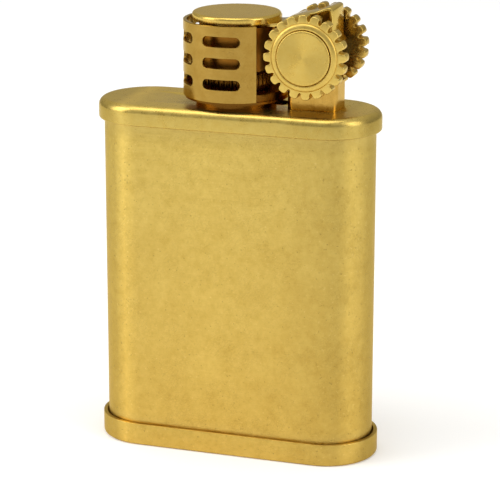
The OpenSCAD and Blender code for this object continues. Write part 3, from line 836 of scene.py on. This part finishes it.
def build_arm():
    """The arm: a bent brass strip with rounded edges."""
    half = (ARM_HIGH.y - ARM_LOW.y) / 2
    sheet = 0.5 * MM
    soft = 0.14 * MM
    line = smooth_line([Vector((x * MM, 0, LID_TOP + z * MM)) for x, z in ARM_POINTS])
    rings = []
    for i, point in enumerate(line):
        along = (line[min(i + 1, len(line) - 1)] - line[max(i - 1, 0)]).normalized()
        down = Vector((along.z, 0, -along.x))
        middle = point + down * (sheet / 2)
        ring = []
        for cy, cz, start in ((1, 1, 0), (-1, 1, 90), (-1, -1, 180), (1, -1, 270)):
            for step in range(4):
                a = math.radians(start + 90 * step / 3)
                y = cy * (half - soft) + soft * math.cos(a)
                z = cz * (sheet / 2 - soft) + soft * math.sin(a)
                ring.append(middle + Vector((0, y, 0)) - down * z)
        rings.append(ring)
    bm = bmesh.new()
    skin(bm, rings, caps=True)
    arm = new_object("arm_strip", bm, 50)
    return dress(arm, "polish", "snuffer", "polished_brass", "snuffer_arm")


def build_cap():
    """The snuffer's cap: a flat satin top with a polished round edge."""
    radius = (CAP_HIGH.x - CAP_LOW.x) / 2
    top_round, low_round = 0.38 * MM, 0.15 * MM
    profile = [(TINY, CAP_LOW.z)]
    profile += [(radius * 0.6, CAP_LOW.z)]
    profile += corner(radius - low_round, CAP_LOW.z + low_round, low_round, -90, 0, 4)
    profile += corner(radius - top_round, CAP_HIGH.z - top_round, top_round, 0, 90, 8)
    profile += [(radius * s, CAP_HIGH.z) for s in (0.9, 0.7, 0.5, 0.3, 0.1)]
    profile += [(TINY, CAP_HIGH.z)]
    cap = lathe("cap_disc", profile, (GUARD_X, 0), 128, caps=True)
    return dress(cap, "cap", "snuffer", "satin_brass", "snuffer_cap")


# ---------------------------------------------------------------- studio

MIDDLE = Vector((0, 0, 0.030))  # what the camera and the lights face
LIGHT_DISTANCE = 0.9


def direction(azimuth, elevation):
    """A unit vector from the lighter, in degrees. Azimuth 0 is in front, 90 at the wheels' end."""
    a, e = math.radians(azimuth), math.radians(elevation)
    return Vector((math.sin(a) * math.cos(e), -math.cos(a) * math.cos(e), math.sin(e)))


def build_floor():
    """The plain pale floor that the lighter stands on, which gives off a little light of its own."""
    bm = bmesh.new()
    half = 1.5
    corners = ((-half, -half), (half, -half), (half, half), (-half, half))
    bm.faces.new([bm.verts.new((x, y, 0)) for x, y in corners])
    floor = new_object("floor", bm)
    material, n, shader = new_material("floor_paper")
    tone = n.noise(n.millimetres(), 0.01, 2.0)
    n.put(shader.inputs["Base Color"], n.mix(tone, (0.93, 0.93, 0.92, 1), (0.96, 0.96, 0.95, 1)))
    shader.inputs["Roughness"].default_value = 0.9
    shader.inputs["Specular IOR Level"].default_value = 0.1
    shader.inputs["Emission Color"].default_value = (1.0, 1.0, 1.0, 1.0)
    shader.inputs["Emission Strength"].default_value = 0.14
    floor.data.materials.append(material)


def area_light(name, azimuth, elevation, size, power):
    """A soft rectangular light that faces the lighter."""
    back = direction(azimuth, elevation)
    data = bpy.data.lights.new(name, "AREA")
    data.shape = "RECTANGLE"
    data.size, data.size_y = size
    data.energy = power
    light = bpy.data.objects.new(name, data)
    light.location = MIDDLE + back * LIGHT_DISTANCE
    light.rotation_mode = "QUATERNION"
    light.rotation_quaternion = (-back).to_track_quat("-Z", "Y")
    bpy.context.scene.collection.objects.link(light)


def build_world():
    """An even pale surround, a little darker towards the horizon."""
    world = bpy.data.worlds.new("studio")
    bpy.context.scene.world = world
    world.use_nodes = True
    n = Nodes(world.node_tree)
    looking = n.add("ShaderNodeSeparateXYZ", {"Vector": n.add("ShaderNodeTexCoord").outputs["Generated"]})
    up = n.span(looking.outputs[2], 0.0, 0.7, 0.42, 0.60)
    background = world.node_tree.nodes["Background"]
    n.put(background.inputs["Color"], (1.0, 0.99, 0.97, 1))
    n.put(background.inputs["Strength"], up)


def build_camera():
    """The camera at the lighter's three-quarter view, a little above it."""
    distance = 0.31371
    back = direction(18.743, 15.56)
    data = bpy.data.cameras.new("camera")
    data.sensor_width = 36
    data.lens = 163.14
    data.shift_x, data.shift_y = 0.0221, -0.0310
    data.clip_start = 0.01
    camera = bpy.data.objects.new("camera", data)
    camera.location = MIDDLE + back * distance
    camera.rotation_mode = "QUATERNION"
    camera.rotation_quaternion = (-back).to_track_quat("-Z", "Y")
    bpy.context.scene.collection.objects.link(camera)
    bpy.context.scene.camera = camera


build_camera()
build_world()
area_light("left_softbox", -62, 28, (0.5, 0.8), 3.2)
area_light("right_softbox", 75, 25, (0.4, 0.8), 2.4)
area_light("overhead", -20, 78, (0.7, 0.7), 3.0)
build_floor()
bpy.context.scene.view_settings.view_transform = "Standard"

build_tube()
build_lid()
build_base()
build_guard()
build_collar()
build_knurl()
build_burner()
build_wick()
build_wheel("wheel_front", -1, "front_thumb_wheel", 2.3, "wheel")
build_wheel("wheel_rear", 1, "rear_thumb_wheel", 11.3, "rear_wheel")
build_hub("hub_front", -1)
build_hub("hub_rear", 1)
build_file_wheel()
build_arm()
build_cap()

REPAINTED = [  # the CAD nodes that keep their own shape: node, finish and edge rounding in millimetres
    ("wheel_post", "post", 0.10),
    ("arm_yoke", "polish", 0.05),
    ("arm_spring", "steel", 0.03),
    ("snuffer_cup", "inner", 0.08),
    ("snuffer_pad", "leather", 0.05),
    ("snuffer_rivet", "collar", 0.08),
    ("axle", "steel", 0.0),
    ("wheel_spacers", "fitting", 0.08),
    ("filler_bush", "fitting", 0.08),
    ("flint_tube", "fitting", 0.08),
    ("flint_screw", "fitting", 0.08),
    ("filler_screw", "fitting", 0.08),
    ("flint_plunger", "fitting", 0.0),
    ("filler_gasket", "leather", 0.0),
    ("flint", "flint", 0.08),
    ("flint_spring", "steel", 0.0),
    ("fuel_wadding", "cotton", 0.0),
    ("felt_pad", "felt", 0.0),
]
for cad_node, node_finish, edge_rounding in REPAINTED:
    repaint(cad_node, node_finish, edge_rounding * MM)
